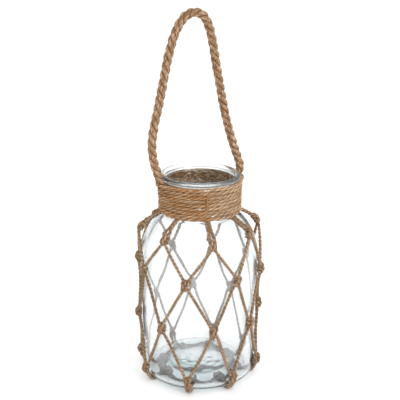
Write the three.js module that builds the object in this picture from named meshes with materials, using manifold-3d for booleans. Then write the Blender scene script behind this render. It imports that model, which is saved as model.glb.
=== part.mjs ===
// Hanging lantern: a clear glass jar held in a net of knotted jute twine, with a wrap of
// twine round its neck and a rope handle whose two ends are clamped under the wrap.
// Millimetres, +Z up. The origin is on the jar's axis, in the plane that the lantern stands on.
import * as THREE from "three";
import { mergeVertices } from "three/addons/utils/BufferGeometryUtils.js";
import Module from "manifold-3d";

const wasm = await Module();
wasm.setup();

// ---- driving dimensions ----
const GAP = 0.3; // left between pieces that touch
const CORD_GAP = 0.45; // left between the glass and a cord, whose steps cut its curve short

const TWINE = { halfThick: 1.25, halfWide: 1.45, sides: 6 }; // net twine
const LIFT = 2 * TWINE.halfThick + GAP; // the jar's foot stands on the cords that pass under it

const FOOT = { inner: 46.4, outer: 52 }; // the ring of glass that the jar stands on
const HEEL = 6.5; // radius of the rounded edge between foot and wall
const PAD = { radius: 28.6, height: 3 }; // thick middle of the base, above the foot
const PUNT = { height: 7, inner: 31.2, middle: 37, rim: 6.2, rimRadius: 44 }; // groove round the pad
// The jar's inner floor, as [radius, height above the foot], from the wall to the axis.
const FLOOR = [
  [55.5, 8.4],
  [54.3, 4.7],
  [51.8, 3.2],
  [49.3, 3.4],
  [46.6, 6.9],
  [43.5, 9.3],
  [38, 9.9],
  [30, 10.5],
  [0, 10.5],
];
const WALL = 3;
const BODY = { bottom: 58.5, top: 60, height: 130 }; // outer radii, and where the shoulder starts
const NECK = { radius: 36, base: 172 };
const SHOULDER_POWER = 1.6; // 2 would be an ellipse, 1 a cone
const LIP = { radius: 37.8, height: 210.3, tube: 3 };
const JAR_SEGMENTS = 32;

const WRAP = { turns: 9, pitch: 3.66, base: 176.5, inner: 38.35, thick: 3.3, segments: 36 };

const COLUMNS = 8; // cords in the net
const HALF_STEP = Math.PI / COLUMNS; // from a knot to the next one in the row above
const FIRST_AZIMUTH = THREE.MathUtils.degToRad(10.7); // of the first shared knots
const KNOT = { wide: 5, thick: 3.3, tall: 6 }; // half sizes
const KNOT_SPREAD = 1.7; // from a knot's middle to each of the two strands in it
const ROWS = { base: 12.7, low: 67.2, high: 117.9, shoulder: 161.9 }; // heights above the foot
const SHOULDER_KNOT = { radius: 57.3, tilt: THREE.MathUtils.degToRad(30) }; // it stands off the glass
const TUCK = { halfThick: 0.7, halfWide: 1.9, spread: 2.1, top: 184 }; // strand pressed under the wrap

const RING = { radius: 38, halfWide: 4, halfThick: 1.25, sides: 8, flat: 0.3 }; // plait under the jar
// Loop of each cord round the ring: two half rounds, reach out from the ring's middle, and straights.
const HITCH = { outer: 4.3, inner: 1.75, reach: 2.75, width: 6.2, segments: 3 };

const ROPE = { radius: 4, sides: 8, steps: 44 };
const HANDLE_AZIMUTH = THREE.MathUtils.degToRad(-62); // of the handle's first end
const HINGE_HEIGHT = 216.5; // above the foot, where the rope flexes when the handle swings
// The handle's centreline, as (distance from the axis towards its first end, height above the foot).
const HANDLE_LINE = [
  [46.4, HINGE_HEIGHT],
  [50, 227],
  [52.4, 241],
  [52, 253],
  [49.5, 267],
  [46, 281],
  [42.8, 295],
  [39.6, 309.5],
  [36.4, 324],
  [33, 337],
  [28.6, 349.5],
  [23, 360],
  [15.5, 367.3],
  [6.5, 369.4],
  [-2, 365.6],
  [-7.6, 356.5],
  [-11.4, 343.5],
  [-14.4, 329.5],
  [-17, 316],
  [-20, 302],
  [-23, 288],
  [-26.3, 274],
  [-30.2, 259.5],
  [-34.8, 245],
  [-39.2, 233],
  [-42.8, 224],
  [-45.4, HINGE_HEIGHT],
];
// A rope end below the hinge: it passes round the lip and is pressed flat under the wrap.
const TAIL_LINE = [
  { radius: 45.6, z: 211.4, thick: 3.7, wide: 3.9 },
  { radius: 44.9, z: 209.2, thick: 3.3, wide: 4.1 },
  { radius: 42.6, z: 206.7, thick: 2.2, wide: 4.5 },
  { radius: 39.8, z: 203, thick: 1.8, wide: 5 },
  { radius: 38.5, z: 198, thick: 1.5, wide: 5.4 },
  { radius: 37.8, z: 190, thick: 1.1, wide: 5.6 },
  { radius: 37.4, z: 185, thick: 0.9, wide: 5.2 },
];
// How far the wrap stands out over a rope end, at heights above the foot.
const WRAP_BULGE = [
  [181, 0],
  [185, 0.7],
  [190, 1.2],
  [198, 2.4],
  [202, 4],
  [205.8, 8.1],
];
const BULGE_FULL = THREE.MathUtils.degToRad(10.5); // half width of the bulge's crown
const BULGE_FADE = THREE.MathUtils.degToRad(25); // where it has died away

// ---- materials ----
const glass = new THREE.MeshStandardMaterial({
  color: 0xdfe9e6,
  roughness: 0.05,
  metalness: 0,
  transparent: true,
  opacity: 0.35,
});
const jute = (color) => new THREE.MeshStandardMaterial({ color, roughness: 0.92, metalness: 0 });
const netTwine = jute(0xa57c53);
const wrapTwine = jute(0xb08c69);
const ropeJute = jute(0xb38a5c);

// ---- helpers ----
const polar = (azimuth, radius, z) =>
  new THREE.Vector3(radius * Math.sin(azimuth), -radius * Math.cos(azimuth), z);
const outward = (azimuth) => polar(azimuth, 1, 0);
const alongRim = (azimuth) => new THREE.Vector3(Math.cos(azimuth), Math.sin(azimuth), 0);

function interpolate(table, at) {
  if (at <= table[0][0]) return table[0][1];
  for (let i = 1; i < table.length; i += 1) {
    const [x0, y0] = table[i - 1];
    const [x1, y1] = table[i];
    if (at <= x1) return y0 + ((y1 - y0) * (at - x0)) / (x1 - x0);
  }
  return table.at(-1)[1];
}

// The jar's outer radius at a height above its foot.
function glassRadius(height) {
  if (height <= BODY.height) {
    return THREE.MathUtils.lerp(BODY.bottom, BODY.top, (height - HEEL) / (BODY.height - HEEL));
  }
  if (height >= NECK.base) return NECK.radius;
  const rise = (height - BODY.height) / (NECK.base - BODY.height);
  const reach = (1 - rise ** SHOULDER_POWER) ** (1 / SHOULDER_POWER);
  return NECK.radius + (BODY.top - NECK.radius) * reach;
}

// A solid with an elliptical section along a row of stations: { at, out, thick, wide }, where out
// points off the surface that the piece lies on and thick is measured along it.
function loft(stations, sides) {
  const last = stations.length - 1;
  const geometry = new THREE.CylinderGeometry(1, 1, 1, sides, last, false, Math.PI / sides);
  const position = geometry.getAttribute("position");
  const corner = Math.cos(Math.PI / sides); // thick is half the distance across flats
  for (let i = 0; i < position.count; i += 1) {
    const index = Math.round((0.5 - position.getY(i)) * last);
    const { at, out, thick, wide } = stations[index];
    const before = stations[Math.max(index - 1, 0)].at;
    const after = stations[Math.min(index + 1, last)].at;
    const back = new THREE.Vector3().subVectors(before, after).normalize();
    const normal = out.clone().addScaledVector(back, -out.dot(back)).normalize();
    const side = new THREE.Vector3().crossVectors(back, normal);
    const point = at
      .clone()
      .addScaledVector(side, position.getX(i) * wide)
      .addScaledVector(normal, (position.getZ(i) * thick) / corner);
    position.setXYZ(i, point.x, point.y, point.z);
  }
  return geometry;
}

function toSolid(geometry) {
  const bare = geometry.clone();
  bare.deleteAttribute("normal");
  bare.deleteAttribute("uv");
  const merged = mergeVertices(bare, 1e-4);
  return new wasm.Manifold(
    new wasm.Mesh({
      numProp: 3,
      vertProperties: merged.getAttribute("position").array,
      triVerts: new Uint32Array(merged.index.array),
    }),
  );
}

function toGeometry(solid) {
  const mesh = solid.getMesh();
  const geometry = new THREE.BufferGeometry();
  geometry.setAttribute("position", new THREE.BufferAttribute(mesh.vertProperties, 3));
  geometry.setIndex(new THREE.BufferAttribute(mesh.triVerts, 1));
  geometry.computeVertexNormals();
  return geometry;
}

// A turned solid: the profile is a list of [radius, height above the foot].
function turned(profile, segments) {
  const points = profile.map(([radius, height]) => new THREE.Vector2(radius, height + LIFT));
  return new THREE.LatheGeometry(points, segments).rotateX(Math.PI / 2);
}

function named(name, geometry, material) {
  const mesh = new THREE.Mesh(geometry, material);
  mesh.name = name;
  return mesh;
}

// ---- glass jar ----
function arc(centreRadius, centreHeight, size, fromDegrees, toDegrees, steps) {
  return Array.from({ length: steps + 1 }, (_, i) => {
    const angle = THREE.MathUtils.degToRad(THREE.MathUtils.lerp(fromDegrees, toDegrees, i / steps));
    return [centreRadius + size * Math.cos(angle), centreHeight + size * Math.sin(angle)];
  });
}

function glassJar() {
  const shoulder = [1, 0.86, 0.7, 0.52, 0.34, 0.18, 0].map((fall) => {
    const height = THREE.MathUtils.lerp(NECK.base, BODY.height, fall);
    return [glassRadius(height), height];
  });
  const innerShoulder = [...shoulder].reverse().map(([radius, height]) => [radius - WALL, height - WALL / 2]);
  const profile = [
    [0, PAD.height + 0.2],
    [PAD.radius, PAD.height],
    [PUNT.inner, PUNT.height - 0.6],
    [PUNT.middle, PUNT.height],
    [PUNT.rimRadius, PUNT.rim],
    [FOOT.inner - 0.7, PUNT.rim - 1.8],
    [FOOT.inner, 0],
    ...arc(FOOT.outer, HEEL, HEEL, -90, 0, 4),
    ...shoulder,
    [NECK.radius, LIP.height - 4.4],
    ...arc(LIP.radius, LIP.height, LIP.tube, -120, 180, 9),
    [NECK.radius - WALL, LIP.height - 5],
    ...innerShoulder,
    ...FLOOR,
  ];
  return named("glass_jar", turned(profile, JAR_SEGMENTS), glass);
}

// ---- wrap of twine round the neck ----
function neckWrap() {
  const middle = WRAP.inner + WRAP.thick / 2;
  const half = WRAP.thick / 2;
  const top = WRAP.base + (WRAP.turns - 1) * WRAP.pitch;
  const profile = [[WRAP.inner, top]];
  profile.push([WRAP.inner, WRAP.base], [middle, WRAP.base - half]);
  for (let turn = 0; turn < WRAP.turns; turn += 1) {
    const height = WRAP.base + turn * WRAP.pitch;
    profile.push([WRAP.inner + WRAP.thick, height]);
    if (turn < WRAP.turns - 1) profile.push([middle + half / 2, height + WRAP.pitch / 2]);
  }
  profile.push([middle, top + half], profile[0]);
  const geometry = turned(profile, WRAP.segments);
  geometry.rotateZ(HANDLE_AZIMUTH);
  // Both rope ends push the turns out.
  const position = geometry.getAttribute("position");
  for (let i = 0; i < position.count; i += 1) {
    const [x, y, z] = [position.getX(i), position.getY(i), position.getZ(i)];
    const azimuth = Math.atan2(x, -y);
    const fromEnds = Math.abs(Math.asin(Math.sin(azimuth - HANDLE_AZIMUTH)));
    const crown = 1 - THREE.MathUtils.smoothstep(fromEnds, BULGE_FULL, BULGE_FADE);
    const radius = Math.hypot(x, y);
    const grown = (radius + crown * interpolate(WRAP_BULGE, z - LIFT)) / radius;
    position.setXYZ(i, x * grown, y * grown, z);
  }
  return named("neck_wrap", geometry, wrapTwine);
}

// ---- cord ring under the jar ----
// It is a flat plait that lies on the surface, and is lifted where each cord is hitched to it.
function ringHeight(azimuth) {
  const fromHitch = Math.abs(Math.asin(Math.sin((azimuth - FIRST_AZIMUTH - HALF_STEP) * (COLUMNS / 2))));
  const share = THREE.MathUtils.smoothstep(fromHitch / (Math.PI / 2), RING.flat, 1 - RING.flat);
  return THREE.MathUtils.lerp(HITCH.outer, RING.halfThick, share);
}

function baseRing() {
  const sectors = COLUMNS * 6;
  const geometry = new THREE.TorusGeometry(RING.radius, 1, RING.sides, sectors);
  geometry.rotateZ(FIRST_AZIMUTH + HALF_STEP - Math.PI / 2);
  const position = geometry.getAttribute("position");
  for (let i = 0; i < position.count; i += 1) {
    const [x, y, z] = [position.getX(i), position.getY(i), position.getZ(i)];
    const across = Math.hypot(x, y) - RING.radius;
    const grown = (RING.radius + across * RING.halfWide) / (RING.radius + across);
    const height = ringHeight(Math.atan2(x, -y)) + z * RING.halfThick;
    position.setXYZ(i, x * grown, y * grown, height);
  }
  return named("base_ring", geometry, netTwine);
}

// ---- net cords ----
// Each cord is doubled over the ring, so it has two legs. They share the cord's own knots, and each
// leg meets a neighbour's leg in the knots of the rows between.
function legStations(own, side) {
  const stations = [];
  const add = (azimuth, offset, radius, height, out, shape = TWINE) => {
    const turned = azimuth + offset / radius;
    stations.push({
      at: polar(turned, radius, height + LIFT),
      out: out ?? outward(turned),
      thick: shape.halfThick,
      wide: shape.halfWide,
    });
  };
  const lying = (height) => glassRadius(height) + CORD_GAP + TWINE.halfThick;
  const down = new THREE.Vector3(0, 0, -1);
  const underFoot = TWINE.halfThick - LIFT;
  const ownOffset = side * KNOT_SPREAD;
  add(own, ownOffset, RING.radius + 2.5, underFoot, down);
  add(own, ownOffset, FOOT.inner, underFoot, down);
  add(own, ownOffset, FOOT.outer, underFoot, down);
  const turnRadius = HEEL + GAP + TWINE.halfThick;
  for (const degrees of [30, 60, 88]) {
    const angle = THREE.MathUtils.degToRad(degrees);
    const slope = outward(own).multiplyScalar(Math.sin(angle)).addScaledVector(down, Math.cos(angle));
    const radius = FOOT.outer + turnRadius * Math.sin(angle);
    add(own, ownOffset, radius, HEEL - turnRadius * Math.cos(angle), slope);
  }
  const shared = own + side * HALF_STEP;
  const meets = [
    { azimuth: own, offset: ownOffset, radius: lying(ROWS.base), height: ROWS.base },
    { azimuth: shared, offset: -ownOffset, radius: lying(ROWS.low), height: ROWS.low },
    { azimuth: own, offset: ownOffset, radius: lying(ROWS.high), height: ROWS.high },
    { azimuth: shared, offset: -ownOffset, radius: SHOULDER_KNOT.radius, height: ROWS.shoulder },
  ];
  meets.forEach((meet, i) => {
    add(meet.azimuth, meet.offset, meet.radius, meet.height);
    const next = meets[i + 1];
    if (!next) return;
    for (const share of [1 / 3, 2 / 3]) {
      const height = THREE.MathUtils.lerp(meet.height, next.height, share);
      const straight = THREE.MathUtils.lerp(meet.radius, next.radius, share);
      const azimuth = THREE.MathUtils.lerp(meet.azimuth, next.azimuth, share);
      const offset = THREE.MathUtils.lerp(meet.offset, next.offset, share);
      add(azimuth, offset, Math.max(straight, lying(height)), height);
    }
  });
  // From the shoulder knot up to the neck, and flat under the wrap.
  add(shared, -side * KNOT_SPREAD, 47.5, 168.2);
  add(shared, -side * KNOT_SPREAD, 41.8, 171.8);
  add(shared, -side * KNOT_SPREAD, 38.7, 173.2);
  const tucked = NECK.radius + GAP + TUCK.halfThick;
  add(shared, -side * TUCK.spread, tucked, WRAP.base - 0.5, undefined, TUCK);
  add(shared, -side * TUCK.spread, tucked, TUCK.top, undefined, TUCK);
  return stations;
}

// One side of a shared knot is kept, with half the gap to the other side.
function knot(azimuth, radius, height, tilt = 0, keep = 0) {
  const lump = new THREE.SphereGeometry(1, 6, 4)
    .rotateX(Math.PI / 2)
    .scale(KNOT.wide, KNOT.thick, KNOT.tall)
    .rotateX(tilt)
    .rotateZ(azimuth);
  const centre = polar(azimuth, radius, height + LIFT);
  const solid = toSolid(lump.translate(centre.x, centre.y, centre.z));
  if (!keep) return solid;
  const size = 4 * KNOT.tall;
  const middle = centre.addScaledVector(alongRim(azimuth), keep * (size / 2 + GAP / 2));
  const half = new THREE.BoxGeometry(size, size, size).rotateZ(azimuth);
  return solid.intersect(toSolid(half.translate(middle.x, middle.y, middle.z)));
}

function hitch(azimuth) {
  const rounded = (path, radius) =>
    path
      .absarc(0, HITCH.reach, radius, 0, Math.PI)
      .absarc(0, -HITCH.reach, radius, Math.PI, 2 * Math.PI);
  const shape = rounded(new THREE.Shape(), HITCH.outer);
  shape.holes.push(rounded(new THREE.Path(), HITCH.inner));
  const loop = new THREE.ExtrudeGeometry(shape, {
    depth: HITCH.width,
    bevelEnabled: false,
    curveSegments: HITCH.segments,
  });
  loop.translate(0, 0, -HITCH.width / 2).rotateY(Math.PI / 2).rotateZ(azimuth);
  const centre = polar(azimuth, RING.radius, HITCH.outer);
  return toSolid(loop.translate(centre.x, centre.y, centre.z));
}

function netCord(index) {
  const own = FIRST_AZIMUTH + (2 * index + 1) * HALF_STEP;
  const seat = CORD_GAP + KNOT.thick;
  let solid = hitch(own);
  for (const height of [ROWS.base, ROWS.high]) {
    solid = solid.add(knot(own, glassRadius(height) + seat, height));
  }
  for (const side of [-1, 1]) {
    const shared = own + side * HALF_STEP;
    solid = solid.add(toSolid(loft(legStations(own, side), TWINE.sides)));
    solid = solid.add(knot(shared, glassRadius(ROWS.low) + seat, ROWS.low, 0, -side));
    solid = solid.add(
      knot(shared, SHOULDER_KNOT.radius, ROWS.shoulder, SHOULDER_KNOT.tilt, -side),
    );
  }
  return named(`net_cord_${index + 1}`, toGeometry(solid), netTwine);
}

// ---- rope handle ----
function handleRope() {
  const line = new THREE.CatmullRomCurve3(
    HANDLE_LINE.map(([reach, height]) => polar(HANDLE_AZIMUTH, reach, height + LIFT)),
  );
  const section = new THREE.Shape(
    Array.from({ length: ROPE.sides }, (_, i) => {
      const angle = (i * 2 * Math.PI) / ROPE.sides;
      return new THREE.Vector2(ROPE.radius * Math.cos(angle), ROPE.radius * Math.sin(angle));
    }),
  );
  let solid = toSolid(new THREE.ExtrudeGeometry(section, { steps: ROPE.steps, extrudePath: line }));
  // Both ends are round, about the line that the handle swings on.
  for (const [reach, height] of [HANDLE_LINE[0], HANDLE_LINE.at(-1)]) {
    const end = new THREE.SphereGeometry(ROPE.radius, ROPE.sides, ROPE.sides / 2);
    const centre = polar(HANDLE_AZIMUTH, reach, height + LIFT);
    solid = solid.add(toSolid(end.rotateX(Math.PI / 2).translate(centre.x, centre.y, centre.z)));
  }
  return named("handle_rope", toGeometry(solid), ropeJute);
}

function handleTail(name, azimuth) {
  const stations = TAIL_LINE.map(({ radius, z, thick, wide }) => ({
    at: polar(azimuth, radius, z + LIFT),
    out: outward(azimuth),
    thick,
    wide,
  }));
  return named(name, loft(stations, ROPE.sides), ropeJute);
}

const lantern = new THREE.Group();
lantern.add(glassJar(), neckWrap(), baseRing());
for (let index = 0; index < COLUMNS; index += 1) lantern.add(netCord(index));
lantern.add(handleTail("handle_tail_left", HANDLE_AZIMUTH));
lantern.add(handleTail("handle_tail_right", HANDLE_AZIMUTH + Math.PI));
lantern.add(handleRope());

export default lantern;
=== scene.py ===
import math

import bpy
import numpy as np
from mathutils import Matrix, Vector


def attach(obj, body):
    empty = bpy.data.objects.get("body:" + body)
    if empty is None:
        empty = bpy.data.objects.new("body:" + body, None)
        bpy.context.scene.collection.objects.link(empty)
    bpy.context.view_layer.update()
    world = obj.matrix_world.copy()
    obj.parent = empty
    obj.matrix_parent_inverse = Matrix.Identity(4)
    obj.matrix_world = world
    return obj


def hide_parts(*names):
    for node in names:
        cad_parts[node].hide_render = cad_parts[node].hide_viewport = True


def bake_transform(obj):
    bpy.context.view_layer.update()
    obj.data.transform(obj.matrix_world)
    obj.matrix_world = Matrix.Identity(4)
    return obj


# A clear glass jar in a net of knotted jute twine, with a wrap of twine round its neck and a rope
# handle. The object's sizes are in millimetres, and meshes are scaled to metres as they are made.
# The camera, the floor and the lights are in metres. The front of the jar is towards -Y.
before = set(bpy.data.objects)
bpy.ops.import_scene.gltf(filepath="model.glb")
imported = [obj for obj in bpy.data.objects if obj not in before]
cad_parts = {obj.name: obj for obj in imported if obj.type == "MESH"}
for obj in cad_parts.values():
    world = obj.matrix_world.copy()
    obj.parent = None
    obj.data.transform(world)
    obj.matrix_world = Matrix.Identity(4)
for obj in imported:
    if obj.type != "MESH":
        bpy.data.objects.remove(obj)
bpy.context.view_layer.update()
scene = bpy.context.scene
MM = 0.001
rng = np.random.default_rng(527)  # for the whole scene, so the order of the draws matters

# ---- camera ----
CAMERA_PLACE = (0, -0.8008, 0.4417)
LENS, LOOKS_DOWN, LEANS = 75.2, 0.308, 0.010
camera_data = bpy.data.cameras.new("camera")
camera_data.sensor_width = 36
camera_data.lens = LENS
camera_data.clip_start = 0.05
camera = bpy.data.objects.new("camera", camera_data)
scene.collection.objects.link(camera)
camera.matrix_world = (
    Matrix.Translation(CAMERA_PLACE)
    @ Matrix.Rotation(math.pi / 2 - LOOKS_DOWN, 4, "X")
    @ Matrix.Rotation(LEANS, 4, "Z")
)
scene.camera = camera

# ---- sizes: the CAD model's, where it has them ----
TWINE_RADIUS = 1.72
OFF_GLASS = 1.6  # from the glass to the middle of a cord
LIFT = 2.8  # the jar's foot above the ground; heights below are above the foot
FOOT_OUTER, HEEL = 52.0, 6.5
WALL = 3.0
# The base, (radius, height): inside from the wall to the axis, and underneath from the axis out.
INNER_FLOOR = [
    (55.4, 12), (55.3, 8), (54.8, 5.6), (53.8, 4), (52.2, 3.2), (50.2, 3.1), (48.6, 3.9), (47.4, 5.6),
    (46.2, 7.6), (44.4, 9), (41.6, 9.7), (38, 9.9), (30, 10), (20, 10.3), (10, 10.5), (0, 10.5),
]
UNDERSIDE = [
    (0, 4.5), (4, 4.35), (8, 4.6), (12, 4.55), (16, 4.9), (20, 4.95), (24, 5.45), (28, 5.9), (32, 6.5),
    (36, 6.9), (40, 6.9), (42.4, 6.6), (44.2, 5.8), (45.5, 4.2), (46.6, 2.2), (48.2, 0.6), (50, 0.05),
]
BODY_BOTTOM, BODY_TOP, BODY_HEIGHT = 58.5, 60.0, 130.0
NECK_RADIUS, NECK_BASE = 36.0, 172.0
SHOULDER_POWER = 1.6
LIP_RADIUS, LIP_HEIGHT, LIP_TUBE = 37.8, 210.3, 3.0
WRAP_TURNS, WRAP_PITCH, WRAP_TWINE_RADIUS = 9, 3.66, 1.98
WRAP_BASE, WRAP_INNER, WRAP_THICK = 176.5, 38.35, 3.3  # lowest turn's height, inner radius, thickness
COLUMNS = 8  # knots in a row; every other row is half a column further round
HALF_COLUMNS = 2 * COLUMNS
HALF_STEP = math.pi / COLUMNS
FIRST_AZIMUTH = math.radians(10.7)
RING_RADIUS, RING_STEP, RING_TWINE_RADIUS = 38.0, 2.7, 1.28
HITCH_MIDDLE = 4.4  # the ring's height above the ground where a cord is hitched to it
ROPE_RADIUS = 4.0
ROPE_LOOK = 1.1  # the yarns' ridges stand out of the rope
HANDLE_AZIMUTH = math.radians(-62)
HINGE_HEIGHT = 216.5
# The arch from one end of the hinge to the other: (place across the jar, height).
HANDLE_LINE = [
    (46.4, 216.5), (50, 227), (52.4, 241), (52, 253), (49.5, 267), (46, 281), (42.8, 295),
    (39.6, 309.5), (36.4, 324), (33, 337), (28.6, 349.5), (23, 360), (15.5, 367.3), (6.5, 369.4),
    (-2, 365.6), (-7.6, 356.5), (-11.4, 343.5), (-14.4, 329.5), (-17, 316), (-20, 302), (-23, 288),
    (-26.3, 274), (-30.2, 259.5), (-34.8, 245), (-39.2, 233), (-42.8, 224), (-45.4, 216.5),
]
# A rope end below the hinge, from the top: distance from the axis, height, half thickness, half width.
TAIL_LINE = [
    (45.4, 211.6, 3.8, 4), (43.9, 208.8, 3.0, 4.3), (41.7, 206.2, 2.1, 4.8), (39.7, 203, 1.8, 5.1),
    (38.5, 198, 1.5, 5.4), (37.8, 190, 1.1, 5.6), (37.4, 185, 0.9, 5.2),
]
# How far the wrap stands out over a rope end, by height, and how far round from it that shows.
WRAP_BULGE = [(176, 0.2), (181, 0.5), (185, 0.9), (190, 1.4), (198, 2.3), (202, 3.3), (205.8, 5.1)]
BULGE_FULL, BULGE_FADE = math.radians(6), math.radians(31)


# ---- helpers ----
UP = np.array([0, 0, 1.0])


def polar(azimuth, radius, height):
    azimuth, radius, height = np.broadcast_arrays(azimuth, radius, height)
    return np.stack([radius * np.sin(azimuth), -radius * np.cos(azimuth), height], -1).astype(float)


def whole_turn(count):
    return np.linspace(0, 2 * math.pi, count, endpoint=False)


def on_jar(places):
    """Points from (degrees round, radius, height above the foot)."""
    degrees, radius, height = np.array(places, float).T
    return polar(np.radians(degrees), radius, height + LIFT)


def smoothstep(value, low, high):
    share = np.clip((np.asarray(value, float) - low) / (high - low), 0, 1)
    return share * share * (3 - 2 * share)


def unit(vectors):
    return vectors / np.maximum(np.linalg.norm(vectors, axis=-1, keepdims=True), 1e-9)


def off_line(angle):
    """How far an angle is from 0 or from half a turn, whichever is nearer."""
    return np.abs(np.arcsin(np.sin(angle)))


def turn_to(start, stop):
    """The shorter way round from one azimuth to another."""
    return (stop - start + math.pi) % (2 * math.pi) - math.pi


def glass_radius(height):
    """The jar's outer radius at a height above its foot."""
    height = np.asarray(height, float)
    wall = BODY_BOTTOM + (BODY_TOP - BODY_BOTTOM) * (height - HEEL) / (BODY_HEIGHT - HEEL)
    rise = np.clip((height - BODY_HEIGHT) / (NECK_BASE - BODY_HEIGHT), 0, 1)
    reach = (1 - rise**SHOULDER_POWER) ** (1 / SHOULDER_POWER)
    return np.where(height <= BODY_HEIGHT, wall, NECK_RADIUS + (BODY_TOP - NECK_RADIUS) * reach)


def smooth_line(points, between=10):
    """Points on a smooth line through the given ones. Columns after the third go with them."""
    points = np.asarray(points, float)
    padded = np.vstack([2 * points[0] - points[1], points, 2 * points[-1] - points[-2]])
    t = np.linspace(0, 1, between, endpoint=False)[:, None]
    parts = [
        0.5 * (2 * b + (c - a) * t + (2 * a - 5 * b + 4 * c - d) * t**2 + (3 * b - a - 3 * c + d) * t**3)
        for a, b, c, d in zip(padded, padded[1:], padded[2:], padded[3:])
    ]
    return np.vstack([*parts, points[-1:]])


def evenly(points, step):
    """The same line with its points a step apart, and the length at each point."""
    gaps = np.linalg.norm(np.diff(points[:, :3], axis=0), axis=1)
    length = np.concatenate([[0], np.cumsum(gaps)])
    at = np.linspace(0, length[-1], max(2, round(length[-1] / step) + 1))
    return np.stack([np.interp(at, length, column) for column in points.T], 1), at


def frames(path):
    """Two directions across a path, which turn as little as they can."""
    along = unit(np.gradient(path, axis=0))
    across = np.empty_like(along)
    start = np.eye(3)[np.argmin(np.abs(along[0]))]
    for i, direction in enumerate(along):
        start = start - direction * (start @ direction)
        start = start / math.sqrt(start @ start)
        across[i] = start
    return across, np.cross(along, across)


def plied(angle, at, radius, plies, lay, ply=0.62, yarns=0, ridge=0.0, groove_from=0.45):
    """The outline of a cord of plies laid round each other: its radius, and how deep each point is in
    a groove. ply is a ply's radius as a share of the cord's. yarns and ridge give each ply ribs."""
    turned = angle + 2 * math.pi * at / lay  # laid to the left
    sector = 2 * math.pi / plies
    inside = (turned + sector / 2) % sector - sector / 2
    ply_radius = radius * ply
    offset = radius - ply_radius
    reach = offset * np.cos(inside) + np.sqrt(ply_radius**2 - (offset * np.sin(inside)) ** 2)
    if yarns:
        around = np.arctan2(reach * np.sin(inside), reach * np.cos(inside) - offset)
        reach = reach + ridge * np.abs(np.cos(yarns * (around - 2 * math.pi * at / lay) / 2))
    groove = smoothstep(np.abs(inside) / (sector / 2), groove_from, 1.0)
    return reach, groove


def grid_faces(rows, columns, wrap_rows=False, start=0):
    """Quads of a grid whose columns close on themselves."""
    row = np.arange(rows if wrap_rows else rows - 1)[:, None]
    column = np.arange(columns)[None]
    following = (column + 1) % columns
    above = (row + 1) % rows
    corners = [
        row * columns + column, row * columns + following,
        above * columns + following, above * columns + column,
    ]
    return start + np.stack([np.broadcast_to(c, (len(row), columns)) for c in corners], -1).reshape(-1, 4)


def end_faces(rows, columns, start=0):
    """The two faces that close such a grid at its first row and its last."""
    ring = start + np.arange(columns)
    return [ring[::-1], ring + (rows - 1) * columns]


class Builder:
    """Collects the tubes of one piece, and makes one mesh of them."""

    def __init__(self):
        self.points, self.quads, self.ends, self.strand, self.tint = [], [], [], [], []
        self.count = 0

    def tube(self, path, sides, step, outline, flat=None, closed=False, offset=0.0, shade=0.0):
        """sides is how many points go round the cord, and step how far apart its rings are.
        outline(angle, at) gives a radius and a groove depth. flat(line) gives how thick and how wide the
        cord is, as shares of that radius, and the direction in which it is pressed flat."""
        line, at = evenly(np.asarray(path, float), step)
        centre = line[:, :3]
        across, over = frames(centre)
        if closed:
            centre, across, over, at, line = centre[:-1], across[:-1], over[:-1], at[:-1], line[:-1]
        angle = whole_turn(sides)[None]
        radius, groove = outline(angle, at[:, None])
        cosine, sine = np.cos(angle), np.sin(angle)
        reach = radius[..., None] * (cosine[..., None] * across[:, None] + sine[..., None] * over[:, None])
        if flat is not None:
            thick, wide, out = flat(line)
            side = unit(np.cross(unit(np.gradient(centre, axis=0)), out))
            outward = (reach * out[:, None]).sum(-1, keepdims=True) * out[:, None]
            sideways = (reach * side[:, None]).sum(-1, keepdims=True) * side[:, None]
            reach = reach + outward * (thick[:, None, None] - 1) + sideways * (wide[:, None, None] - 1)
        points = centre[:, None] + reach
        rows = len(centre)
        self.quads.append(grid_faces(rows, sides, closed, self.count))
        if not closed:
            self.ends += end_faces(rows, sides, self.count)
        strand = np.stack(
            [radius * cosine, radius * sine, np.broadcast_to(at[:, None] + offset, radius.shape)], -1
        )
        # Painted shade goes in tint: red by the depth in a groove, green as given by shade.
        tint = np.zeros((*groove.shape, 4))
        tint[..., 0], tint[..., 1], tint[..., 3] = groove, shade, 1
        self.points.append(points.reshape(-1, 3))
        self.strand.append(strand.reshape(-1, 3))
        self.tint.append(tint.reshape(-1, 4))
        self.count += rows * sides
        return line, at

    def make(self, name, material, slot):
        return make_mesh(
            name, np.vstack(self.points), np.vstack(self.quads), self.ends, material,
            strand=np.vstack(self.strand), tint=np.vstack(self.tint),
        )


def make_mesh(name, points, quads, ends, material, strand=None, tint=None):
    """ends are faces of any number of corners. The jute and the glass read strand and tint."""
    mesh = bpy.data.meshes.new(name)
    totals = np.concatenate([np.full(len(quads), 4), [len(e) for e in ends]]).astype(np.int32)
    corners = np.concatenate([quads.ravel(), *ends]).astype(np.int32)
    mesh.vertices.add(len(points))
    mesh.vertices.foreach_set("co", (points * MM).astype(np.float32).ravel())
    mesh.loops.add(len(corners))
    mesh.loops.foreach_set("vertex_index", corners)
    mesh.polygons.add(len(totals))
    mesh.polygons.foreach_set("loop_start", np.concatenate([[0], np.cumsum(totals)[:-1]]).astype(np.int32))
    mesh.polygons.foreach_set("loop_total", totals)
    mesh.update(calc_edges=True)
    mesh.validate()
    mesh.shade_smooth()
    if strand is not None:
        tint = np.tile([0.0, 0.0, 0.0, 1.0], (len(points), 1)) if tint is None else tint
        layer = mesh.attributes.new("strand", "FLOAT_VECTOR", "POINT")
        layer.data.foreach_set("vector", strand.astype(np.float32).ravel())
        layer = mesh.attributes.new("tint", "FLOAT_COLOR", "POINT")
        layer.data.foreach_set("color", tint.astype(np.float32).ravel())
    mesh.materials.append(material)
    piece = bpy.data.objects.new(name, mesh)
    scene.collection.objects.link(piece)
    return piece


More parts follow.
